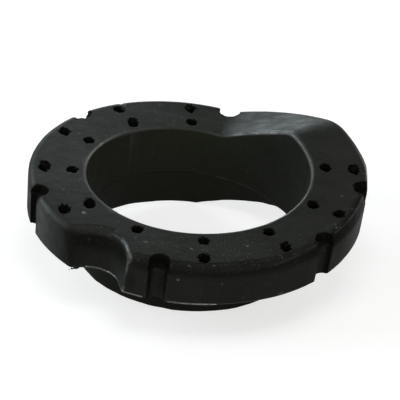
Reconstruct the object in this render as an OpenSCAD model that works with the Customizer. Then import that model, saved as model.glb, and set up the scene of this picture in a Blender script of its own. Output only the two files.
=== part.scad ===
// Coil spring insulator: one moulded rubber ring that sits between a coil spring and its seat.
// The flange is wound like the spring's last turn, so its top and underside climb as a helix
// and drop back down one ramp. A thin collar below the flange keeps the ring centred.
// The origin is on the bore axis, level with the lowest point of the collar. Z is up.
// Angles are counted from +X towards +Y.

/* [Flange] */
// Outside diameter of the flange at its top edge
flange_d = 150; // [140:1:160]
// Width of the flange, from its rim to the bore
flange_w = 26.2; // [24:0.1:30]
// Thickness of the flange, measured upright
flange_t = 20; // [16:0.5:24]
// How far the outer wall leans in towards its bottom edge
wall_draft = 1; // [0:0.1:2]
// Radius of the rounded outer top edge
outer_edge_r = 4; // [1.5:0.25:5]
// Radius of the rounded top edge around the bore
inner_edge_r = 2; // [0.5:0.25:3]

/* [Helical seat] */
// Climb of the seat in one full turn
seat_pitch = 22; // [14:0.5:26]
// Angle of the ramp's foot, where the seat starts
ramp_foot = 73; // [65:1:80]
// Angle of the ramp's crest, where the seat ends
ramp_crest = 30; // [22:1:38]
// Angle over which the foot of the ramp is rounded, to either side
foot_soft = 3; // [1:0.5:6]
// Angle over which the crest of the ramp is rounded, to either side
crest_soft = 5; // [1:0.5:7]

/* [Collar] */
// Wall of the collar
collar_wall = 2.4; // [1.8:0.1:4]
// Depth of the collar below the flange
collar_h = 20; // [10:0.5:26]
// How far the foot of the collar's ramp lies behind the foot of the seat's ramp, as an angle
collar_foot_lag = 11.5; // [0:0.5:14]
// How far the crest of the collar's ramp lies behind the crest of the seat's ramp, as an angle
collar_crest_lag = -2; // [-6:0.5:6]
// Angle over which the crest of the collar's ramp is rounded, to either side
collar_crest_soft = 8; // [2:0.5:9]
// Fillet between the collar and the underside of the flange
root_fillet = 2.5; // [1:0.25:4]

/* [Pin holes] */
// Diameter of the pin holes
pin_d = 4.5; // [3:0.1:6]
// Depth of the pin holes below the seat
pin_depth = 12; // [6:0.5:14]
// Distance from the bore to the inner circle of pin holes
inner_pins_in = 6.7; // [5:0.1:8]
// Distance from the rim to the outer circle of pin holes
outer_pins_in = 7; // [6:0.1:8]
// Angle of the first pair of pin holes
pins_first = 90; // [86:1:94]
// Angle from one pair to the next
pins_step = 30; // [26:1:30]
// Pairs of pin holes along the seat
pins_count = 10; // [4:1:10]

/* [Edge notches] */
// Radius of the half-round notches in the outer wall
notch_r = 4.6; // [3:0.1:5.5]
// Distance from the flange's rim to the deepest point of a notch
notch_depth = 6.8; // [5:0.1:8]
// Depth of the deep pocket at the top of each notch
notch_pocket_h = 5; // [3:0.5:10]
// How much shallower the notch is below its pocket
notch_ledge = 2; // [0.5:0.1:2.5]
// How much narrower the notch is below its pocket, to either side
notch_shoulder = 0.4; // [0.2:0.1:1]
// Angle of the first notch, just past the foot of the ramp
notch_first = 75; // [70:1:80]
// Angle from one notch to the next
notch_step = 60; // [56:1:62]
// Notches in the even row
notch_count = 5; // [3:1:5]
// Angle of the last notch, which is out of step with the others
notch_last = 349; // [345:1:355]

/* [Scoop] */
// Radius of the scoop's round bottom
scoop_r = 14; // [10:0.2:16]
// Distance from the flange's rim to the deepest point of the scoop
scoop_depth = 10.1; // [8:0.1:12]
// Angle between either flank of the scoop and the line to the bore's axis
scoop_flank = 48.4; // [42:0.2:56]
// Angle of the scoop
scoop_angle = 232.8; // [222:0.2:236]
// Radius of the rounded lip around the scoop
scoop_lip_r = 3; // [1:0.25:4]

/* [Hidden] */
$fn = 96;
rubber = [0.12, 0.13, 0.13];
flange_r = flange_d / 2;
bore_r = flange_r - flange_w;
collar_r = bore_r + collar_wall;
// A surface's level is 0 at the seat and 1 at the collar's lower edge: its ramp follows from that
flange_level = flange_t / (flange_t + collar_h);
// Angle between the sweep's stations around the axis, and between the points of a rounded edge
station_step = 4;
edge_step = 18;
// Angle of the first station: it keeps every station off the centre lines of the pin holes
station_lead = 1.3;
stations = [for (a = [station_lead : station_step : 360]) a];
// Height of the sharp foot of the seat's ramp: it puts the collar's lowest point at zero
collar_low = min([for (a = stations) climb(a, 1)]);
seat_foot_z = flange_t + collar_h - collar_low;
// A length that reaches past the whole part
reach = seat_foot_z + seat_pitch + flange_t;
// How far the swept body runs on inside the bore and the collar before they are cut
overrun = 3;
// Angle at which the lips and edges meet the face that they round off
lip_run_out = 70;
// Points along the scoop's round bottom
scoop_arc_points = 24;

// Brings any angle into one turn
function one_turn(a) = a - 360 * floor(a / 360);

// Foot and crest of the ramp at a level
function foot(level) = ramp_foot + level * collar_foot_lag;
function crest(level) = ramp_crest + level * collar_crest_lag;

// Rounding of whichever end of the ramp is the nearer one
function soft(a, level) =
    one_turn(a - (foot(level) + crest(level)) / 2) < 180
        ? foot_soft
        : crest_soft + level * (collar_crest_soft - crest_soft);

// Sharp climb from the foot round to the crest, then back down the ramp
function sharp_climb(a, level) =
    let (turn = one_turn(a - foot(level)), span = 360 - foot(level) + crest(level))
    seat_pitch * (foot(level) - ramp_foot) / 360
    + seat_pitch / 360 * (turn <= span ? turn : span * (360 - turn) / (360 - span));

// The same climb with the foot and the crest rounded, as a mean over a short angle
function climb(a, level) =
    let (samples = [for (d = [-1 : 0.25 : 1]) sharp_climb(a + d * soft(a, level), level)])
    samples * [for (s = samples) 1] / len(samples);

// Height of the seat at an angle
function seat_z(a) = seat_foot_z + climb(a, 0);

// A section point is [radius, height above the seat, level]
function section_point(p, a) = [p[0] * cos(a), p[0] * sin(a), seat_foot_z + p[1] + climb(a, p[2])];

// Sweeps a closed section once around the axis
module helical_sweep(section) {
    n = len(section);
    points = [for (a = stations, p = section) section_point(p, a)];
    faces = [
        for (k = [0 : len(stations) - 1], i = [0 : n - 1])
            let (a = k * n, b = (k + 1) % len(stations) * n, j = (i + 1) % n)
            each [[a + i, b + j, b + i], [a + i, a + j, b + j]]
    ];
    polyhedron(points, faces, convexity = 8);
}

// Section of the flange: underside, outer wall, rounded edges and seat
function outer_edge(t) = [flange_r - outer_edge_r * (1 - sin(t)), -outer_edge_r * (1 - cos(t)), 0];
function inner_edge(t) = [
    bore_r + inner_edge_r * (sin(lip_run_out) - sin(t)),
    -inner_edge_r * (1 - cos(t)),
    0
];
flange_section = concat(
    [[bore_r - overrun, -flange_t - root_fillet, flange_level]],
    [[collar_r - collar_wall / 4, -flange_t - root_fillet * 1.1, flange_level]],
    [[collar_r + root_fillet * 0.3, -flange_t - root_fillet * 0.3, flange_level]],
    [[collar_r + root_fillet, -flange_t, flange_level]],
    [[flange_r - wall_draft, -flange_t, flange_level]],
    [for (t = [90 : -edge_step : 0]) outer_edge(t)],
    [for (t = [0 : 25 : 75]) inner_edge(t)],
    [[bore_r - overrun, -inner_edge_r - 2 * overrun, 0]]
);

// Band that the collar's wall is cut from: its top hides inside the flange
collar_band = [
    [bore_r - overrun, -flange_t - collar_h, 1],
    [collar_r + overrun, -flange_t - collar_h, 1],
    [collar_r + overrun, -flange_t / 2, flange_level],
    [bore_r - overrun, -flange_t / 2, flange_level]
];

module collar() {
    intersection() {
        cylinder(r = collar_r, h = reach, $fn = 180);
        helical_sweep(collar_band);
    }
}

// A blind hole for a pin, measured down from the seat
module pin_hole(a, r) {
    rotate([0, 0, a])
        translate([r, 0, seat_z(a) - pin_depth])
            cylinder(d = pin_d, h = reach, $fn = 24);
}

// Outer holes are left out where the scoop takes their place
scoop_half_angle = asin((scoop_r + scoop_lip_r) / flange_r);
module pin_holes() {
    for (k = [0 : pins_count - 1]) {
        a = pins_first + k * pins_step;
        pin_hole(a, bore_r + inner_pins_in);
        if (abs(a - scoop_angle) > scoop_half_angle)
            pin_hole(a, flange_r - outer_pins_in);
    }
}

// A round-bottomed groove of a given depth, open to the outside, from a height upwards
module rim_groove(r, depth, z) {
    translate([flange_r - depth + r, 0, z]) {
        cylinder(r = r, h = reach, $fn = 48);
        translate([0, -r, 0])
            cube([depth + r, 2 * r, reach]);
    }
}

// A notch: a deep pocket at the top and a shallower groove down the whole wall
module edge_notch(a) {
    rotate([0, 0, a]) {
        rim_groove(notch_r, notch_depth, seat_z(a) - notch_pocket_h);
        rim_groove(notch_r - notch_shoulder, notch_depth - notch_ledge, 0);
    }
}

module edge_notches() {
    for (k = [0 : notch_count - 1])
        edge_notch(notch_first + k * notch_step);
    edge_notch(notch_last);
}

// Outline of the scoop, grown outwards: a round bottom between two straight flanks that end past the rim
scoop_centre_r = flange_r - scoop_depth + scoop_r;
function scoop_outline(grow) =
    let (
        side = 90 - scoop_flank,
        arc = [for (t = [-side : 2 * side / scoop_arc_points : side + 1]) (scoop_r + grow) * [-cos(t), sin(t)]],
        run = (scoop_r + 2 * scoop_depth) * [cos(scoop_flank), sin(scoop_flank)]
    )
    concat([arc[0] + [run[0], -run[1]]], arc, [arc[len(arc) - 1] + run]);

// The large scoop, lofted up through its rounded lip, which follows the slope of the seat
seat_slope = atan(seat_pitch / (2 * PI * scoop_centre_r));
module scoop() {
    lip = [for (t = [0 : lip_run_out / 4 : lip_run_out])
        [scoop_lip_r * (1 - cos(t)), scoop_lip_r * (sin(t) - sin(lip_run_out))]];
    rise = 2 * overrun;
    rings = concat(
        [for (p = scoop_outline(0)) [p[0], p[1], -1]],
        [for (level = concat(lip, [lip[len(lip) - 1] + rise * [tan(lip_run_out), 1]]), p = scoop_outline(level[0]))
            [p[0], p[1], seat_z(scoop_angle) + level[1] - p[1] * tan(-seat_slope)]]
    );
    n = len(scoop_outline(0));
    last = len(rings) - n;
    faces = concat(
        [[for (i = [n - 1 : -1 : 0]) i]],
        [[for (i = [0 : n - 1]) last + i]],
        [for (a = [0 : n : last - n], i = [0 : n - 1])
            let (j = (i + 1) % n)
            each [[a + i, a + j, a + n + j], [a + i, a + n + j, a + n + i]]]
    );
    rotate([0, 0, scoop_angle])
        translate([scoop_centre_r, 0, 0])
            polyhedron(rings, faces, convexity = 4);
}

module spring_insulator() {
    color(rubber)
        difference() {
            union() {
                helical_sweep(flange_section);
                collar();
            }
            translate([0, 0, -1])
                cylinder(r = bore_r, h = reach, $fn = 180);
            pin_holes();
            edge_notches();
            scoop();
        }
}

spring_insulator();
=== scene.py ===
"""Looks of the coil spring insulator: one moulded rubber ring on a pale floor."""

import math

import bpy
import numpy as np
from mathutils import Matrix, Vector


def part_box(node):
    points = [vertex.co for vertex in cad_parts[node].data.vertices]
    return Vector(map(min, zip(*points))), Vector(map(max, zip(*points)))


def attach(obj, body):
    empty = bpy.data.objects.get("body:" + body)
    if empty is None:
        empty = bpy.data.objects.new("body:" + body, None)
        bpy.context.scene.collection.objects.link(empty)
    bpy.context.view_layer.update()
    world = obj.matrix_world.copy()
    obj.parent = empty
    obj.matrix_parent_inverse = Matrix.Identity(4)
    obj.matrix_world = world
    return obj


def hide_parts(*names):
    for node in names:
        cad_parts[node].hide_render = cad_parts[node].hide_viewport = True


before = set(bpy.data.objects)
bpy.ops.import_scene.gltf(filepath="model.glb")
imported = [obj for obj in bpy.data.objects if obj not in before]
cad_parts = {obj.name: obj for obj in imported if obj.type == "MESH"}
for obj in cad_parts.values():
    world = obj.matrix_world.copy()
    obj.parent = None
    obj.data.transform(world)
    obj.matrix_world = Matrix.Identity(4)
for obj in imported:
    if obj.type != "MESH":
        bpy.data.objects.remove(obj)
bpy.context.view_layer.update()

# Shapes below are in millimetres and degrees. Angles are counted from +X towards +Y.
MM = 0.001
node_low, node_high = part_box("spring_insulator")

# Driving sizes of the ring
BOX_MARGIN = 0.05
TOP_MARGIN = 0.08
FLANGE_R = node_high.x / MM - BOX_MARGIN
FLANGE_T = 20.0
SEAT_PITCH = 22.0
RAMP_FOOT = 73.0
RAMP_CREST = 30.0
FOOT_SOFT = 3.0
CREST_SOFT = 5.0
BORE_R = 48.3
BORE_DRAFT = 0.032
COLLAR_R = 50.9
COLLAR_H = 20.0
COLLAR_FOOT_LAG = 11.5
COLLAR_CREST_LAG = -2.0
COLLAR_CREST_SOFT = 8.0
LOWEST_Z = 0.08
ROOT_FILLET = 2.5

# The mould's parting line shows in the bore as a low ridge
PARTING_Z = 17.1
PARTING_RIDGE = 0.16
PARTING_RIDGE_H = 0.5

# Radii of small edges and inside corners
UNDER_EDGE_R = 0.5
COLLAR_EDGE_R = 0.3
BORE_LOW_EDGE_R = 0.3
PIN_EDGE_R = 0.3
PIN_FLOOR_R = 0.5
NOTCH_EDGE_R = 0.4
POCKET_FLOOR_R = 0.4
TEAR_EDGE_R = 0.3
TEAR_FLOOR_R = 0.4

# The bore's upper edge: angle, rounding; and angle, how far the wall below it swells inwards
INNER_EDGE = ((15, 1.9), (60, 1.9), (80, 0.9), (105, 0.8), (150, 1.5), (180, 1.6), (270, 1.3), (340, 1.6))
INNER_EDGE_DEPTH = 8
BORE_SWELL = ((0, 0.7), (15, 1.4), (45, 1.8), (64, 0.5), (80, 0.0), (320, 0.0), (350, 0.4))
SWELL_START_Z, SWELL_FULL_Z = 28, 50

# The outer top edge around the ring: angle, rounding, top radius and height of its bevel, lean of the wall
RIM_EDGE = (
    (12, 3.6, 75.6, 4.0, 1.0),
    (35, 4.2, 75.6, 4.0, 1.0),
    (60, 3.8, 75.6, 4.0, 1.0),
    (125, 3.3, 75.6, 4.0, 1.0),
    (200, 3.7, 75.6, 4.0, 1.0),
    (285, 4.0, 75.6, 4.0, 1.0),
    (303, 3.0, 74.2, 4.8, 0.7),
    (318, 0.9, 73.3, 5.4, 0.8),
    (345, 0.7, 73.2, 5.2, 0.5),
    (357, 1.2, 73.8, 4.8, 0.6),
)
RIM_EDGE_BLEND = 6
BEVEL_SOFT = 0.5

# The pin holes, and how far some sit from their even grid: (angle, outer ring) to outwards and sideways
PIN_R = 2.25
PIN_DEPTH = 12.0
INNER_PINS_R = 55.5
OUTER_PINS_R = 68.0
PIN_ANGLES = range(90, 361, 30)
PIN_SEED = 100
PIN_SLIPS = {
    (120, 0): (0.5, -0.4), (210, 0): (0.3, 0.6), (240, 0): (-0.2, -0.3), (360, 0): (0.0, -0.4),
    (90, 1): (-0.5, 0.2), (150, 1): (-0.1, 0.6), (180, 1): (-0.2, -1.2), (270, 1): (-0.2, -0.4),
    (300, 1): (-0.4, 0.5), (330, 1): (-0.1, 0.5), (360, 1): (0.2, -0.4),
}

# How much longer than wide the torn mouths of some holes are, seen from the front; the rest take MOUTH_LONG
MOUTH_LONG = 1.15
MOUTH_DEPTH = 5.0
LONG_MOUTHS = {
    (120, 0): 1.6, (210, 0): 1.7, (150, 1): 1.35, (180, 1): 1.8,
    (210, 1): 1.5, (270, 1): 1.3, (300, 1): 1.4, (360, 1): 1.4,
}

# Tears at two of the outer pin holes: two ends as (x, y), half width, depth
TEARS = (
    ((-33.0, 68.5), (-31.8, 56.5), 0.8, 1.6),
    ((-0.9, 69.8), (0.4, 64.0), 1.6, 2.0),
)
TEAR_SEED = 300

# The notches in the rim: angle, depth below the rim, radius, height of the deep pocket, ledge below it
NOTCHES = (
    (75.1, 8.0, 4.9, 5.0, 1.6),
    (134.8, 6.0, 5.4, 4.0, 1.6),
    (195.5, 6.6, 4.6, 4.5, 2.0),
    (255.0, 6.6, 4.4, 5.2, 3.1),
    (315.0, 6.3, 4.6, 5.2, 2.4),
    (349.4, 6.9, 4.4, 5.2, 2.2),
)
NOTCH_SHOULDER = 0.4
NOTCH_SEED = 200
EVEN_RAGGED = 0.15
NOTCH_RAGGED = {134.8: 0.4, 349.4: 0.3}

# The scoop in the rim, whose lip is rounder towards the seat and on its left
SCOOP_R = 14.0
SCOOP_DEPTH = 10.1
SCOOP_FLANK = math.radians(48.4)
SCOOP_ANGLE = 232.8
SCOOP_LEAN = 0.5
SCOOP_LIP_R = 0.5
SCOOP_TOP_LIP_EXTRA = 1.1
SCOOP_LEFT_LIP_EXTRA = 2.2

# The flash left along the lower edge of the wall, and a strand of it: ends and radius
FLASH_START, FLASH_END = 221.0, 278.0
FLASH_R = 0.42
FLASH_LEAST = 0.05
WHISKER_ROOT = (-51.2, -50.2, 28.6)
WHISKER_TIP = (-55.6, -49.3, 26.9)
WHISKER_ANGLE = 223
WHISKER_R = 0.38

# How much lower than its even climb the collar's lower edge hangs: angle, drop
COLLAR_DROP = (
    (85, 0.4), (100, 1.1), (125, 1.0), (180, 0.4), (230, 0.2), (255, 0.5), (275, 1.2), (300, 1.2), (350, 0.6),
)

# How the moulded surface and the collar's lower edge waver: height, length, seed
SURFACE_WAVES = ((0.05, 28.0, 3), (0.02, 9.0, 4))
LOW_EDGE_WAVE = (0.1, 11.0, 5)

FULL_TURN = 360.0
TABLE_ANGLES = np.arange(0.0, FULL_TURN, 0.25)


# Tables around the ring
def mean_over(values, half_width):
    """Mean of a table around the ring over a window of that half width, in degrees."""
    steps = int(round(half_width / (TABLE_ANGLES[1] - TABLE_ANGLES[0])))
    return sum(np.roll(values, k) for k in range(-steps, steps + 1)) / (2 * steps + 1)


def look_up(table, angle):
    return np.interp(angle, TABLE_ANGLES, table, period=FULL_TURN)


def around(pairs, angle):
    """Value at an angle between listed pairs of angle and value."""
    return np.interp(angle, *np.transpose(pairs), period=FULL_TURN)


# The helical climb of the seat, the underside and the collar's lower edge
FLANGE_LEVEL = FLANGE_T / (FLANGE_T + COLLAR_H)


def climb_table(level):
    """Climb around the ring at a level: 0 is the seat and 1 is the collar's lower edge."""
    foot = RAMP_FOOT + level * COLLAR_FOOT_LAG
    crest = RAMP_CREST + level * COLLAR_CREST_LAG
    span = FULL_TURN - foot + crest
    turn = (TABLE_ANGLES - foot) % FULL_TURN
    sharp = np.where(turn <= span, turn, span * (FULL_TURN - turn) / (FULL_TURN - span))
    sharp = SEAT_PITCH / FULL_TURN * (sharp + foot - RAMP_FOOT)
    crest_soft = CREST_SOFT + level * (COLLAR_CREST_SOFT - CREST_SOFT)
    near_foot = (TABLE_ANGLES - (foot + crest) / 2) % FULL_TURN < FULL_TURN / 2
    return np.where(near_foot, mean_over(sharp, FOOT_SOFT), mean_over(sharp, crest_soft))


SEAT_FOOT_Z = node_high.z / MM - TOP_MARGIN - climb_table(0).max()
SEAT_Z = SEAT_FOOT_Z + climb_table(0)
UNDER_Z = SEAT_FOOT_Z - FLANGE_T + climb_table(FLANGE_LEVEL)
COLLAR_Z = SEAT_FOOT_Z - FLANGE_T - COLLAR_H + climb_table(1)


def rim_tables():
    columns = np.array(RIM_EDGE, float).T
    return [
        mean_over(np.interp(TABLE_ANGLES, columns[0], column, period=FULL_TURN), RIM_EDGE_BLEND)
        for column in columns[1:]
    ]


RIM_ROUND, RIM_CREASE, RIM_BEVEL, RIM_LEAN = rim_tables()


# Ways to join distances, which are negative inside the rubber
def both(a, b, radius):
    """Inside both, with a rounded edge where they meet."""
    return np.minimum(np.maximum(a, b), -radius) + np.hypot(
        np.maximum(a + radius, 0), np.maximum(b + radius, 0)
    )


def either(a, b, radius):
    """Inside either, with a fillet where they meet."""
    return -both(-a, -b, radius)


def cut(a, tool, radius):
    return both(a, -tool, radius)


def soft_both(a, b, reach):
    """Inside both, blended over a short reach: for faces that meet at a blunt angle."""
    near_edge = np.maximum(1 - np.abs(a - b) / reach, 0)
    return np.maximum(a, b) + near_edge**2 * reach / 4


def blend_in(x, low, high):
    t = np.clip((x - low) / (high - low), 0, 1)
    return t * t * (3 - 2 * t)


def near(a, angle, reach):
    return np.abs((a - angle + FULL_TURN / 2) % FULL_TURN - FULL_TURN / 2) < reach


def flat_place(r, a):
    return r * np.cos(np.radians(a)), r * np.sin(np.radians(a))


def ripple(x, y, z, length, seed):
    """Smooth waves of about that length in every direction, from -1 to 1."""
    draw = np.random.default_rng(seed)
    total = 0
    waves = 7
    for _ in range(waves):
        way = draw.normal(size=3)
        way *= 2 * math.pi / length / np.linalg.norm(way) * draw.uniform(0.7, 1.4)
        total = total + np.sin(way[0] * x + way[1] * y + way[2] * z + draw.uniform(0, 2 * math.pi))
    return total / math.sqrt(waves)


# The ring's features, as distances
def scoop(r, a, depth):
    """A round bottom between two straight flanks, leaning out towards the seat."""
    out = r * np.cos(np.radians(a - SCOOP_ANGLE)) - (FLANGE_R - SCOOP_DEPTH + SCOOP_R)
    aside = np.abs(r * np.sin(np.radians(a - SCOOP_ANGLE)))
    along = out * math.cos(SCOOP_FLANK) + aside * math.sin(SCOOP_FLANK)
    flank = aside * math.cos(SCOOP_FLANK) - out * math.sin(SCOOP_FLANK)
    wall = np.where(along > 0, flank, np.hypot(out, aside)) - SCOOP_R
    return wall - SCOOP_LEAN * np.clip(1 - depth / FLANGE_T, 0, 1)


def scoop_lip(a, height):
    """Rounding of the scoop's lip, at a height counted from the seat."""
    lip = SCOOP_LIP_R + SCOOP_TOP_LIP_EXTRA * blend_in(height, -5, -1)
    return lip + np.where(a < SCOOP_ANGLE, SCOOP_LEFT_LIP_EXTRA * blend_in(height, -15, -3), 0)


def flash_radius(a):
    """Radius of the flash bead, which starts sharply and dies out slowly."""
    return FLASH_R * blend_in(a, FLASH_START, FLASH_START + 2) * blend_in(-a, -FLASH_END, 6 - FLASH_END)


def flange(r, a, z):
    """The flange: drafted wall, bevelled rim, seat, scoop, underside and flash."""
    seat = z - look_up(SEAT_Z, a)
    under = look_up(UNDER_Z, a) - z
    wall = r - (FLANGE_R - look_up(RIM_LEAN, a) * np.clip(-seat / FLANGE_T, 0, 1.2))
    crease, height = look_up(RIM_CREASE, a), look_up(RIM_BEVEL, a)
    width = np.maximum(FLANGE_R - crease, 0)
    bevel = ((r - crease) * height + seat * width) / np.hypot(height, width)
    body = soft_both(both(wall, seat, look_up(RIM_ROUND, a)), bevel, BEVEL_SOFT)
    local = near(a, SCOOP_ANGLE, 20) & (r > 56)
    if local.any():
        tool = scoop(r[local], a[local], -seat[local])
        body[local] = cut(body[local], tool, scoop_lip(a[local], seat[local]))
    thick = flash_radius(a)
    flash = np.hypot(body, under + FLASH_R) - thick
    body = both(body, under, UNDER_EDGE_R)
    return np.where(thick > FLASH_LEAST, either(body, flash, 0.1), body)


def collar(r, a, z):
    """The thin centring collar, with a lower edge that wavers."""
    x, y = flat_place(r, a)
    wall = np.maximum(r - COLLAR_R, z - look_up(UNDER_Z, a) - 0.5 * FLANGE_T)
    low_edge = look_up(COLLAR_Z, a) - around(COLLAR_DROP, a)
    height, length, seed = LOW_EDGE_WAVE
    low_edge = np.maximum(low_edge + height * ripple(x, y, 0 * z, length, seed), LOWEST_Z) - z
    return both(wall, low_edge, COLLAR_EDGE_R)


def bore_radius(a, z):
    """Radius with draft both ways from the parting line, its ridge, and the upper wall's swelling."""
    bore = BORE_R + BORE_DRAFT * np.abs(z - PARTING_Z)
    bore = bore - PARTING_RIDGE * np.exp(-(((z - PARTING_Z) / PARTING_RIDGE_H) ** 2))
    return bore - around(BORE_SWELL, a) * blend_in(z, SWELL_START_Z, SWELL_FULL_Z)


def whisker(x, y, z):
    """A strand of torn flash, thinning towards its tip."""
    start = np.array(WHISKER_ROOT)
    way = np.array(WHISKER_TIP) - start
    dx, dy, dz = x - start[0], y - start[1], z - start[2]
    t = np.clip((dx * way[0] + dy * way[1] + dz * way[2]) / (way @ way), 0, 1)
    gap = np.sqrt((dx - t * way[0]) ** 2 + (dy - t * way[1]) ** 2 + (dz - t * way[2]) ** 2)
    return gap - WHISKER_R * (1 - 0.4 * t)


def pin_hole(r, a, z, angle, ring, seed):
    """A blind hole whose mouth is torn longer from front to back."""
    out, aside = PIN_SLIPS.get((angle, ring), (0, 0))
    turn = math.radians(angle)
    x = r * np.cos(np.radians(a - angle)) - (INNER_PINS_R, OUTER_PINS_R)[ring] - out
    y = r * np.sin(np.radians(a - angle)) - aside
    seat = look_up(SEAT_Z, np.float64(angle))
    torn = blend_in(z - seat, -MOUTH_DEPTH, 0)
    ragged = (0.08 + (0.2 + 0.12 * ring) * torn) * ripple(x, y, 0.3 * z, 2.0, seed)
    across = x * math.cos(turn) - y * math.sin(turn)
    along = x * math.sin(turn) + y * math.cos(turn)
    long = 1 + torn * (LONG_MOUTHS.get((angle, ring), MOUTH_LONG) - 1)
    side = np.hypot(across, along / long) - PIN_R - (0.2 + 0.1 * ring) * torn + ragged
    return both(side, seat - PIN_DEPTH - z, PIN_FLOOR_R)


def pin_holes(r, a, z):
    """Each hole as the points near it and their distances to it."""
    for k, angle in enumerate(PIN_ANGLES):
        for ring, radius in enumerate((INNER_PINS_R, OUTER_PINS_R)):
            if ring and near(np.float64(angle), SCOOP_ANGLE, 12):
                continue
            local = near(a, angle, 6) & (np.abs(r - radius) < 6)
            if local.any():
                yield local, pin_hole(r[local], a[local], z[local], angle, ring, PIN_SEED + 2 * k + ring)


def tear(r, a, z, start, end, half_width, depth, seed):
    """A ragged groove from one point in plan to another, narrowing and rising towards its end."""
    x, y = flat_place(r, a)
    way = np.subtract(end, start)
    t = np.clip(((x - start[0]) * way[0] + (y - start[1]) * way[1]) / (way @ way), 0, 1)
    gap = np.hypot(x - start[0] - t * way[0], y - start[1] - t * way[1])
    side = gap - half_width * (1 - 0.6 * t) + 0.3 * ripple(x, y, z, 3.0, seed)
    return both(side, look_up(SEAT_Z, a) - depth * (1 - 0.7 * t) - z, TEAR_FLOOR_R)


def slot_in_rim(r, a, angle, depth, radius):
    """A round-bottomed groove, open to the outside."""
    out = r * np.cos(np.radians(a - angle)) - (FLANGE_R - depth + radius)
    aside = r * np.sin(np.radians(a - angle))
    return np.hypot(np.minimum(out, 0), aside) - radius


def notch(r, a, z, notch_row, seed):
    """A shallow groove down the wall below a deeper pocket that opens to the seat."""
    angle, depth, radius, pocket_h, ledge = notch_row
    seat = look_up(SEAT_Z, angle)
    x, y = flat_place(r, a)
    ragged = NOTCH_RAGGED.get(angle, EVEN_RAGGED) * ripple(x, y, z, 3.0, seed)
    pocket = slot_in_rim(r, a, angle, depth, radius) + ragged
    pocket = both(pocket, seat - pocket_h - z, POCKET_FLOOR_R)
    groove = slot_in_rim(r, a, angle, depth - ledge, radius - NOTCH_SHOULDER) + ragged / 2
    return np.minimum(pocket, groove)


def cut_notches(body, r, a, z):
    for k, row in enumerate(NOTCHES):
        angle, depth = row[:2]
        local = near(a, angle, 8) & (r > FLANGE_R - depth - 4)
        if local.any():
            tool = notch(r[local], a[local], z[local], row, NOTCH_SEED + k)
            body[local] = cut(body[local], tool, NOTCH_EDGE_R)


def cut_tears(body, r, a, z):
    for k, (start, end, half_width, deep) in enumerate(TEARS):
        middle = np.degrees(np.arctan2(start[1] + end[1], start[0] + end[0]))
        local = near(a, middle, 9) & (r > 52)
        if local.any():
            tool = tear(r[local], a[local], z[local], start, end, half_width, deep, TEAR_SEED + k)
            body[local] = cut(body[local], tool, TEAR_EDGE_R)


def insulator(r, a, z):
    """Distance to the whole part, for flat arrays of points."""
    x, y = flat_place(r, a)
    depth = look_up(SEAT_Z, a) - z
    wavy = sum(height * ripple(x, y, z, length, seed) for height, length, seed in SURFACE_WAVES)
    body = either(flange(r, a, z), collar(r, a, z), ROOT_FILLET) + wavy
    bore_edge = np.where(depth < INNER_EDGE_DEPTH, around(INNER_EDGE, a), BORE_LOW_EDGE_R)
    body = cut(body, r - bore_radius(a, z), bore_edge)
    local = near(a, WHISKER_ANGLE, 6) & (r > 66) & (depth > 15)
    if local.any():
        body[local] = either(body[local], whisker(x[local], y[local], z[local]), 0.2)
    for local, hole in pin_holes(r, a, z):
        body[local] = cut(body[local], hole, PIN_EDGE_R)
    cut_notches(body, r, a, z)
    cut_tears(body, r, a, z)
    return body


# Mesh of that distance on a grid that follows the ring, finer at its edges
def spaced(*spans):
    """Grid lines from (start, end, step) spans."""
    lines = [np.arange(start, end - step / 4, step) for start, end, step in spans]
    return np.concatenate([*lines, [spans[-1][1]]])


TURN_STEP = 0.5
GRID_A = np.arange(0, FULL_TURN, TURN_STEP)
GRID_R = spaced((46.9, 52.4, 0.45), (52.4, 66.0, 0.6), (66.0, 77.4, 0.45))
SPAN = 20.0
GRID_Q = spaced((-1.3, 1.1, 0.5), (1.1, 19.0, 0.7), (19.0, 22.2, 0.5), (22.2, 32.8, 0.9), (32.8, 41.3, 0.42))
MAX_TRIANGLES = 196000


def height_at(a, q):
    """Height of grid level q: 0 is the collar's lower edge, SPAN the underside and twice SPAN the seat."""
    low_edge, under, seat = look_up(COLLAR_Z, a), look_up(UNDER_Z, a), look_up(SEAT_Z, a)
    low = low_edge + np.minimum(q, 0) + (under - low_edge) * np.clip(q / SPAN, 0, 1)
    return low + (seat - under) * np.clip(q / SPAN - 1, 0, 1) + np.maximum(q - 2 * SPAN, 0)


def grid_values():
    a, r, q = np.meshgrid(GRID_A, GRID_R, GRID_Q, indexing="ij")
    z = height_at(a, q)
    return insulator(r.ravel(), a.ravel(), z.ravel()).reshape(a.shape)


def cell_corners(values):
    """The eight corner values of each grid cell, the grid closing on itself around the ring."""
    wrapped = np.concatenate([values, values[:1]])
    ends = (slice(0, -1), slice(1, None))
    return np.stack(
        [wrapped[ends[i], ends[j], ends[k]] for i in (0, 1) for j in (0, 1) for k in (0, 1)], -1
    )


def crossing_means(corners):
    """Mean of the points where the surface crosses each cell's twelve edges, from 0 to 1 across the cell."""
    places = np.array([(i, j, k) for i in (0, 1) for j in (0, 1) for k in (0, 1)], float)
    total = np.zeros((len(corners), 3))
    count = np.zeros(len(corners))
    for p in range(len(places)):
        for q in range(p + 1, len(places)):
            if np.abs(places[p] - places[q]).sum() != 1:
                continue
            a, b = corners[:, p], corners[:, q]
            crossed = (a < 0) != (b < 0)
            t = np.where(crossed, a / np.where(crossed, a - b, 1), 0)[:, None]
            total += crossed[:, None] * (places[p] + t * (places[q] - places[p]))
            count += crossed
    return total / count[:, None]


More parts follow.
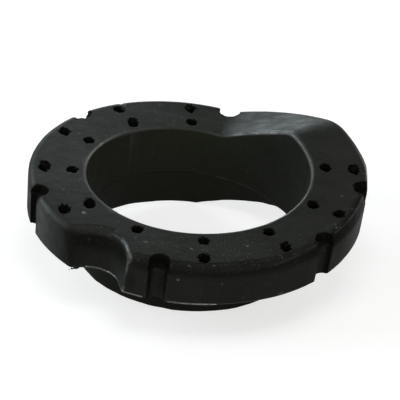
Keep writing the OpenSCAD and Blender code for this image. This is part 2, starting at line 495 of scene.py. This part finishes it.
def quads_across(values, cell_of):
    """Faces that join the cells around each crossed grid edge."""
    inside = values < 0
    before_turn = np.roll(cell_of, 1, axis=0)
    found = []

    def add(before, after, cells):
        crossed = before != after
        loop = np.stack([c[crossed] for c in cells], 1)
        turn = before[crossed]
        loop[turn] = loop[turn][:, ::-1]
        found.append(loop)

    c, b = cell_of, before_turn
    add(inside[:, 1:-1, 1:-1], np.roll(inside, -1, axis=0)[:, 1:-1, 1:-1],
        (c[:, :-1, :-1], c[:, 1:, :-1], c[:, 1:, 1:], c[:, :-1, 1:]))
    add(inside[:, :-1, 1:-1], inside[:, 1:, 1:-1],
        (b[:, :, :-1], b[:, :, 1:], c[:, :, 1:], c[:, :, :-1]))
    add(inside[:, 1:-1, :-1], inside[:, 1:-1, 1:],
        (b[:, :-1, :], c[:, :-1, :], c[:, 1:, :], b[:, 1:, :]))
    return np.concatenate(found)


def distance_at(points):
    x, y, z = points.T
    return insulator(np.hypot(x, y), np.degrees(np.arctan2(y, x)) % FULL_TURN, z)


def slope_at(points, step=0.06):
    steps = np.eye(3) * step
    return np.stack(
        [(distance_at(points + s) - distance_at(points - s)) / (2 * step) for s in steps], 1
    )


def settle(points, rounds=2):
    """Moves points onto the surface."""
    for _ in range(rounds):
        slope = slope_at(points)
        size = np.maximum((slope**2).sum(1), 0.2)
        move = np.clip(distance_at(points) / size, -0.3, 0.3)
        points = points - move[:, None] * slope
    return points


def ring_mesh():
    """Points and faces of the ring, with one point in each grid cell that the surface passes through."""
    values = grid_values()
    corners = cell_corners(values)
    low, high = corners.min(-1) < 0, corners.max(-1) >= 0
    active = low & high
    cell_of = np.full(active.shape, -1)
    cell_of[active] = np.arange(active.sum())
    i, j, k = np.nonzero(active)
    u = crossing_means(corners[active])
    a = GRID_A[i] + u[:, 0] * TURN_STEP
    r = GRID_R[j] + u[:, 1] * (GRID_R[j + 1] - GRID_R[j])
    z = height_at(a, GRID_Q[k] + u[:, 2] * (GRID_Q[k + 1] - GRID_Q[k]))
    x, y = flat_place(r, a)
    return settle(np.stack([x, y, z], 1)), quads_across(values, cell_of)


# Shares from 0 to 1 that the rubber's material reads from the mesh
WEAR_AND_SHEEN_GAIN = 1.2
WEAR_AND_SHEEN_START = 0.33


def fade(a, angle, reach, power=2):
    """A share that falls off to both sides of an angle."""
    return np.exp(-(((a - angle) / reach) ** power))


def edge_wear_and_sheen(points, reach=0.5):
    """How sharply the surface turns outwards at each point, from 0 to 1."""
    steps = np.eye(3) * reach
    bend = sum(distance_at(points + s) + distance_at(points - s) for s in steps) - 6 * distance_at(points)
    return np.clip(bend / reach**2 * WEAR_AND_SHEEN_GAIN - WEAR_AND_SHEEN_START, 0, 1)


def notch_shares(r, a, z, depth):
    """Painted shade down in a notch, darkest in its pocket and at its sides; and closeness to a notch."""
    inside, beside = np.zeros_like(r), np.zeros_like(r)
    for k, row in enumerate(NOTCHES):
        angle, radius, pocket_h = row[0], row[2], row[3]
        local = near(a, angle, 8) & (r > 60)
        gap = notch(r[local], a[local], z[local], row, NOTCH_SEED + k)
        pocket = blend_in(pocket_h + 0.3 - depth[local], -0.5, 0.5)
        aside = np.abs(r[local] * np.sin(np.radians(a[local] - angle))) / radius
        groove = 0.15 + 0.85 * blend_in(aside, 0.4, 0.85)
        inside[local] = blend_in(-gap, -0.5, 0.0) * np.maximum(0.95 * pocket, groove)
        beside[local] = blend_in(-gap, -2.5, -1.0)
    return inside, beside


def hole_shares(r, a, z):
    """Painted shade down in a pin hole, and closeness to one."""
    inside, beside = np.zeros_like(r), np.zeros_like(r)
    for local, gap in pin_holes(r, a, z):
        inside[local] = np.maximum(inside[local], blend_in(-gap, -0.45, -0.1))
        beside[local] = np.maximum(beside[local], blend_in(-gap, -2.0, -1.2))
    return inside, beside


def scoop_shares(r, a, depth):
    """Painted shade on the scoop's upper wall and on a strip of wall to its left, and the lower part of its
    right lip, which painted shade dims.
    """
    inside = blend_in(-scoop(r, a, depth), -1.0, 0.0) * near(a, SCOOP_ANGLE, 15)
    inside = inside * blend_in(depth, 1.5, 4) * (0.75 - 0.65 * blend_in(depth, 7, 14))
    left = 0.65 * fade(a, SCOOP_ANGLE - 12, 3.5) * (r > 60) * blend_in(depth, 0.5, 3)
    low_lip = near(a, SCOOP_ANGLE + 11, 4) * (r > 60) * blend_in(depth, 6, 11)
    return inside, left, low_lip * blend_in(-depth, -18.5, -15.5)


def rim_share(r, a, depth):
    """Painted shade on the rounded edge along the front."""
    along_front = np.interp(a, (235, 250, 300, 315, 348, 356), (0, 0.65, 0.65, 0.9, 0.9, 0))
    return along_front * blend_in(r, 69.8, 72.2) * blend_in(-depth, -7.5, -3.5)


def wear_and_sheen_share(points, r, a, z, depth, low_lip):
    """Pale worn edges, partly a painted highlight, fainter on the dark stretches, and a painted sheen on two
    stretches of the wall.
    """
    wear_and_sheen = edge_wear_and_sheen(points) * blend_in(z - look_up(UNDER_Z, a), -3.0, -1.0)
    bore_wall = (r < 50.5) & (depth > 4)
    scoop_wall = near(a, SCOOP_ANGLE - 8, 13) & (r > 56) & (depth < 17)
    wear_and_sheen *= np.where(bore_wall | scoop_wall, 0.1, 1)
    wear_and_sheen *= np.where(near(a, SCOOP_ANGLE - 13, 5.5) & (r > 56), 0.1, 1)
    wear_and_sheen *= 1 - 0.85 * low_lip
    wear_and_sheen *= np.where(near(a, 330, 27) & (r > 65), 0.35, 1)
    wear_and_sheen *= 1 - 0.95 * fade(a, 92, 26, 4) * (r < 53)
    # Painted sheen: a pale strip along two stretches of the wall's upper edge
    painted_sheen = 0.2 * fade(a, 203, 8) + 0.2 * fade(a, 343, 12)
    return np.maximum(wear_and_sheen, painted_sheen * blend_in(r, 72.5, 74.0))


def surface_masks(points):
    """Where the rubber is worn or carries a painted highlight, inside the bore, painted with shade, or dusty.
    """
    x, y, z = points.T
    r, a = np.hypot(x, y), np.degrees(np.arctan2(y, x)) % FULL_TURN
    depth = look_up(SEAT_Z, a) - z
    in_notch, by_notch = notch_shares(r, a, z, depth)
    in_hole, by_hole = hole_shares(r, a, z)
    in_scoop, by_scoop, low_lip = scoop_shares(r, a, depth)
    # Shares of painted shade: notches, holes, the scoop, the strip left of it, its lower right lip and the
    # front edge
    dark = [in_notch, in_hole, in_scoop, by_scoop, 0.4 * low_lip, rim_share(r, a, depth)]
    return {
        "edge_wear_and_sheen": wear_and_sheen_share(points, r, a, z, depth, low_lip) * (1 - by_notch) * (1 - by_hole),
        # The bore's olive, faded out around 30 degrees as painted shade
        "bore": blend_in(-r, -50.4, -49.4) * (1 - 0.8 * fade(a, 30, 35)),
        "painted_shade": np.maximum.reduce(dark),
        "dusty": np.exp(-(((x - 15) / 45) ** 2) - ((y + 62) / 18) ** 2),
    }


def make_ring():
    """The ring: thinned to its triangle limit, shaded by the true slope, with its masks."""
    points, faces = ring_mesh()
    mesh = bpy.data.meshes.new("rubber_ring")
    mesh.from_pydata((points * MM).tolist(), [], faces.tolist())
    ring = bpy.data.objects.new("rubber_ring", mesh)
    bpy.context.scene.collection.objects.link(ring)
    thin = ring.modifiers.new("thin", "DECIMATE")
    thin.ratio = MAX_TRIANGLES / (2 * len(faces))
    ready = ring.evaluated_get(bpy.context.evaluated_depsgraph_get())
    ring.data = bpy.data.meshes.new_from_object(ready)
    ring.modifiers.clear()
    ring.data.name = "rubber_ring"
    ring.data.shade_smooth()
    places = np.zeros(len(ring.data.vertices) * 3)
    ring.data.vertices.foreach_get("co", places)
    points = places.reshape(-1, 3) / MM
    normals = slope_at(points)
    normals /= np.linalg.norm(normals, axis=1)[:, None]
    ring.data.normals_split_custom_set_from_vertices(normals.tolist())
    for name, share in surface_masks(points).items():
        layer = ring.data.attributes.new(name, "FLOAT", "POINT")
        layer.data.foreach_set("value", share.astype(np.float32))
    return ring


# Shader nodes
NOISE_ROUGHNESS = 0.55


def node(tree, kind, inputs, **settings):
    """A shader node. Inputs are constants, or sockets of other nodes to link from."""
    made = tree.nodes.new("ShaderNode" + kind)
    for name, value in settings.items():
        setattr(made, name, value)
    for key, value in inputs.items():
        if isinstance(value, bpy.types.NodeSocket):
            tree.links.new(value, made.inputs[key])
        else:
            made.inputs[key].default_value = value
    return made


def noise(tree, place, per_metre, detail):
    inputs = {"Vector": place, "Scale": per_metre, "Detail": detail, "Roughness": NOISE_ROUGHNESS}
    return node(tree, "TexNoise", inputs).outputs["Fac"]


def ranged(tree, value, low, high, to_low=0.0, to_high=1.0):
    inputs = {"Value": value, "From Min": low, "From Max": high, "To Min": to_low, "To Max": to_high}
    return node(tree, "MapRange", inputs, clamp=True).outputs["Result"]


def maths(tree, operation, *values):
    return node(tree, "Math", dict(enumerate(values)), operation=operation).outputs["Value"]


def mask(tree, name):
    """A share from 0 to 1 stored on the mesh."""
    return node(tree, "Attribute", {}, attribute_name=name).outputs["Fac"]


def mixed(tree, share, a, b):
    return node(tree, "Mix", {0: share, 6: a, 7: b}, data_type="RGBA", blend_type="MIX").outputs[2]


# The rubber's colours
RUBBER_DARK = (0.0095, 0.0102, 0.0078, 1)
RUBBER_PALE = (0.0145, 0.0155, 0.0125, 1)
BORE_OLIVE = (0.0185, 0.0205, 0.0130, 1)
# Painted shade: the colour laid where shade falls in notches, holes, the scoop and along the front edge
PAINTED_SHADE = (0.0040, 0.0042, 0.0030, 1)
DUST = (0.10, 0.105, 0.10, 1)
SCUFF = (0.22, 0.22, 0.20, 1)
LINE_DARK = (0.004, 0.004, 0.003, 1)
LINE_PALE = (0.07, 0.075, 0.06, 1)
# Pale edge colour: wear, and partly a painted highlight and sheen
WORN_AND_SHEEN = (0.026, 0.027, 0.025, 1)
GLOSS = 0.16
WORN_GLOSS = 2.6
WORN_SMOOTHER = 0.4
GRAIN_HEIGHT = 0.00007
BROAD_HEIGHT = 0.00015

# Small pale scuffs: place and radius
SCUFFS = (((-50.4, -36.0, 47.6), 1.3), ((-10.8, -74.3, 43.1), 1.0), ((-14.5, -70.0, 48.5), 0.8))


def plain_rubber(tree, place, grain):
    """Clouded black rubber, olive in the bore and darkest where shade is painted into the recesses and along
    the front edge.
    """
    cloud = ranged(tree, noise(tree, place, 55, 4), 0.35, 0.65)
    colour = mixed(tree, cloud, RUBBER_DARK, RUBBER_PALE)
    colour = mixed(tree, ranged(tree, grain, 0.3, 0.7, 0.0, 0.35), colour, RUBBER_PALE)
    colour = mixed(tree, mask(tree, "bore"), colour, BORE_OLIVE)
    return mixed(tree, mask(tree, "painted_shade"), colour, PAINTED_SHADE)


def with_parting_line(tree, place, colour):
    """A broken hairline round the bore, dark on the left and pale on the right."""
    across = node(tree, "SeparateXYZ", {0: place}).outputs
    off_line = maths(tree, "ABSOLUTE", maths(tree, "SUBTRACT", across["Z"], PARTING_Z * MM))
    line = maths(tree, "MULTIPLY", ranged(tree, off_line, 0.00012, 0.0004, 1.0, 0.0), mask(tree, "bore"))
    line = maths(tree, "MULTIPLY", line, ranged(tree, noise(tree, place, 120, 3), 0.4, 0.55))
    tone = mixed(tree, ranged(tree, across["X"], 0.002, 0.014), LINE_DARK, LINE_PALE)
    return mixed(tree, line, colour, tone)


def with_dust(tree, place, colour):
    """Fine and coarse specks in patches, mostly on what faces up."""
    up = node(tree, "SeparateXYZ", {0: node(tree, "NewGeometry", {}).outputs["Normal"]}).outputs["Z"]
    fine = ranged(tree, noise(tree, place, 1300, 1), 0.62, 0.70, 0.0, 0.45)
    coarse = ranged(tree, noise(tree, place, 430, 1), 0.72, 0.75)
    patch = ranged(tree, noise(tree, place, 30, 2), 0.45, 0.65, 0.15, 0.8)
    patch = maths(tree, "ADD", patch, mask(tree, "dusty"))
    dust = maths(tree, "MULTIPLY", maths(tree, "MAXIMUM", fine, coarse), patch)
    dust = maths(tree, "MULTIPLY", dust, ranged(tree, up, -0.2, 0.9, 0.25, 1.0))
    return mixed(tree, maths(tree, "MULTIPLY", dust, 0.6), colour, DUST)


def with_scuffs(tree, place, colour):
    ragged = ranged(tree, noise(tree, place, 1600, 1), 0.42, 0.55)
    for centre, radius in SCUFFS:
        centre = [v * MM for v in centre]
        off = node(tree, "VectorMath", {0: place, 1: centre}, operation="DISTANCE").outputs["Value"]
        share = ranged(tree, off, 0.4 * radius * MM, radius * MM, 1.0, 0.0)
        colour = mixed(tree, maths(tree, "MULTIPLY", share, ragged), colour, SCUFF)
    return colour


def rubber_bump(tree, place, grain):
    fine = maths(tree, "MULTIPLY", grain, GRAIN_HEIGHT)
    broad = maths(tree, "MULTIPLY", noise(tree, place, 260, 3), BROAD_HEIGHT)
    inputs = {"Height": maths(tree, "ADD", fine, broad), "Strength": 1.0, "Distance": 1.0}
    return node(tree, "Bump", inputs).outputs["Normal"]


def rubber_material():
    """Black rubber, smoother and glossier where it is worn or carries a painted highlight, and duller where
    shade is painted.
    """
    made = bpy.data.materials.new("black_rubber")
    made.use_nodes = True
    tree = made.node_tree
    shader = tree.nodes["Principled BSDF"]
    place = node(tree, "TexCoord", {}).outputs["Object"]
    grain = noise(tree, place, 1500, 2)
    colour = plain_rubber(tree, place, grain)
    colour = with_parting_line(tree, place, colour)
    colour = with_dust(tree, place, colour)
    colour = with_scuffs(tree, place, colour)
    patchy = ranged(tree, noise(tree, place, 260, 3), 0.3, 0.7, 0.4, 1.0)
    wear_and_sheen = maths(tree, "MULTIPLY", mask(tree, "edge_wear_and_sheen"), patchy)
    rough = ranged(tree, noise(tree, place, 120, 4), 0.3, 0.7, 0.42, 0.58)
    rough = maths(tree, "SUBTRACT", rough, maths(tree, "MULTIPLY", wear_and_sheen, WORN_SMOOTHER))
    gloss = maths(tree, "MULTIPLY_ADD", wear_and_sheen, WORN_GLOSS, GLOSS)
    gloss = maths(tree, "MULTIPLY", gloss, ranged(tree, mask(tree, "painted_shade"), 0, 1, 1.0, 0.25))
    # Pale edge colour: wear, and partly a painted highlight
    tree.links.new(mixed(tree, wear_and_sheen, colour, WORN_AND_SHEEN), shader.inputs["Base Color"])
    tree.links.new(rough, shader.inputs["Roughness"])
    tree.links.new(gloss, shader.inputs["Specular IOR Level"])
    tree.links.new(rubber_bump(tree, place, grain), shader.inputs["Normal"])
    return made


FLOOR_GREY = (0.45, 0.45, 0.45, 1)
FLOOR_SHINE = (0.68, 0.68, 0.68, 1)


def floor_material():
    """A pale floor that looks white to the camera and adds no light to the ring."""
    made = bpy.data.materials.new("pale_floor")
    made.use_nodes = True
    tree = made.node_tree
    shader = tree.nodes["Principled BSDF"]
    shader.inputs["Base Color"].default_value = FLOOR_GREY
    shader.inputs["Roughness"].default_value = 0.9
    shader.inputs["Emission Color"].default_value = FLOOR_SHINE
    path = tree.nodes.new("ShaderNodeLightPath")
    tree.links.new(path.outputs["Is Camera Ray"], shader.inputs["Emission Strength"])
    return made


ring = make_ring()
ring.data.materials.append(rubber_material())
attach(ring, "root")
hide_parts("spring_insulator")


# Camera, placed by angles around the bore's axis
CAMERA_AZIMUTH, CAMERA_ELEVATION, CAMERA_ROLL = map(math.radians, (-6.39, 32.94, 7.68))
CAMERA_DISTANCE = 1015.53
CAMERA_AIM_Z = 48.97
FOCAL_PIXELS = 2303.7
IMAGE_PIXELS = 400
SENSOR = 36.0
AXIS_PIXEL = (-1.39, -27.94)


def direction(bearing, elevation):
    """Unit vector away from the ring, the bearing counted from the front towards +X."""
    level = math.cos(elevation)
    return Vector((math.sin(bearing) * level, -math.cos(bearing) * level, math.sin(elevation)))


def make_camera():
    camera = bpy.data.objects.new("camera", bpy.data.cameras.new("camera"))
    bpy.context.scene.collection.objects.link(camera)
    back = direction(CAMERA_AZIMUTH, CAMERA_ELEVATION)
    right = Vector((math.cos(CAMERA_AZIMUTH), math.sin(CAMERA_AZIMUTH), 0))
    up = back.cross(right)
    c, s = math.cos(CAMERA_ROLL), math.sin(CAMERA_ROLL)
    right, up = c * right + s * up, c * up - s * right
    turn = Matrix((right, up, back)).transposed().to_4x4()
    place = (Vector((0, 0, CAMERA_AIM_Z)) + back * CAMERA_DISTANCE) * MM
    camera.matrix_world = Matrix.Translation(place) @ turn
    camera.data.sensor_width = SENSOR
    camera.data.lens = FOCAL_PIXELS / IMAGE_PIXELS * SENSOR
    camera.data.shift_x = -AXIS_PIXEL[0] / IMAGE_PIXELS
    camera.data.shift_y = AXIS_PIXEL[1] / IMAGE_PIXELS
    camera.data.clip_start, camera.data.clip_end = 0.05, 20
    bpy.context.scene.camera = camera


# Floor: the collar's lower edge climbs, so the ring rests tipped on it, and here the floor tilts instead
REST_TILT = math.radians(7.4)
REST_UPHILL = math.radians(-63)
REST_LIFT = 4.5
FLOOR_HALF = 3.0


def make_floor():
    """The floor that the tipped ring rests on."""
    corners = [(-1, -1), (1, -1), (1, 1), (-1, 1)]
    mesh = bpy.data.meshes.new("floor")
    mesh.from_pydata([(x * FLOOR_HALF, y * FLOOR_HALF, 0) for x, y in corners], [], [(0, 1, 2, 3)])
    floor = bpy.data.objects.new("floor", mesh)
    bpy.context.scene.collection.objects.link(floor)
    uphill = Vector((math.cos(REST_UPHILL), math.sin(REST_UPHILL), 0))
    normal = Vector((0, 0, 1)) * math.cos(REST_TILT) - uphill * math.sin(REST_TILT)
    floor.rotation_mode = "QUATERNION"
    floor.rotation_quaternion = normal.to_track_quat("Z", "Y")
    floor.location = (0, 0, REST_LIFT * MM)
    mesh.materials.append(floor_material())


# Round softboxes aimed at the ring: name, bearing from the front towards +X, elevation, size, power, colour
LAMPS = (
    ("left", 270, 22, 0.6, 3.9, (0.88, 0.96, 1.0)),
    ("back_left", 225, 22, 0.6, 2.7, (0.82, 0.94, 1.0)),
    ("back_low", 182, 5, 0.4, 1.3, (0.85, 0.97, 1.0)),
    ("back_right", 135, 20, 0.6, 1.75, (1.0, 1.0, 0.93)),
    ("front", 0, 20, 0.6, 1.0, (0.95, 1.0, 0.8)),
    ("front_right", 28, 27, 0.6, 2.0, (1.0, 1.0, 0.92)),
    ("front_left", 315, 35, 0.6, 1.0, (1.0, 1.0, 0.92)),
    ("top", 0, 84, 0.6, 3.0, (1.0, 1.0, 1.0)),
)
LAMP_DISTANCE = 1.0
LAMP_AIM = Vector((0, 0, 0.03))
WORLD_LEVEL = 0.1


def soft_light(name, bearing, elevation, size, power, colour):
    lamp = bpy.data.lights.new(name, "AREA")
    lamp.shape = "DISK"
    lamp.size = size
    lamp.energy = power
    lamp.color = colour
    made = bpy.data.objects.new(name, lamp)
    bpy.context.scene.collection.objects.link(made)
    away = direction(math.radians(bearing), math.radians(elevation))
    made.location = LAMP_AIM + away * LAMP_DISTANCE
    made.rotation_mode = "QUATERNION"
    made.rotation_quaternion = away.to_track_quat("Z", "Y")


def make_world():
    world = bpy.data.worlds.new("studio")
    bpy.context.scene.world = world
    world.use_nodes = True
    background = world.node_tree.nodes["Background"]
    background.inputs["Color"].default_value = (1, 1, 1, 1)
    background.inputs["Strength"].default_value = WORLD_LEVEL


make_camera()
make_floor()
make_world()
for lamp_row in LAMPS:
    soft_light(*lamp_row)

bpy.context.scene.view_settings.view_transform = "Standard"
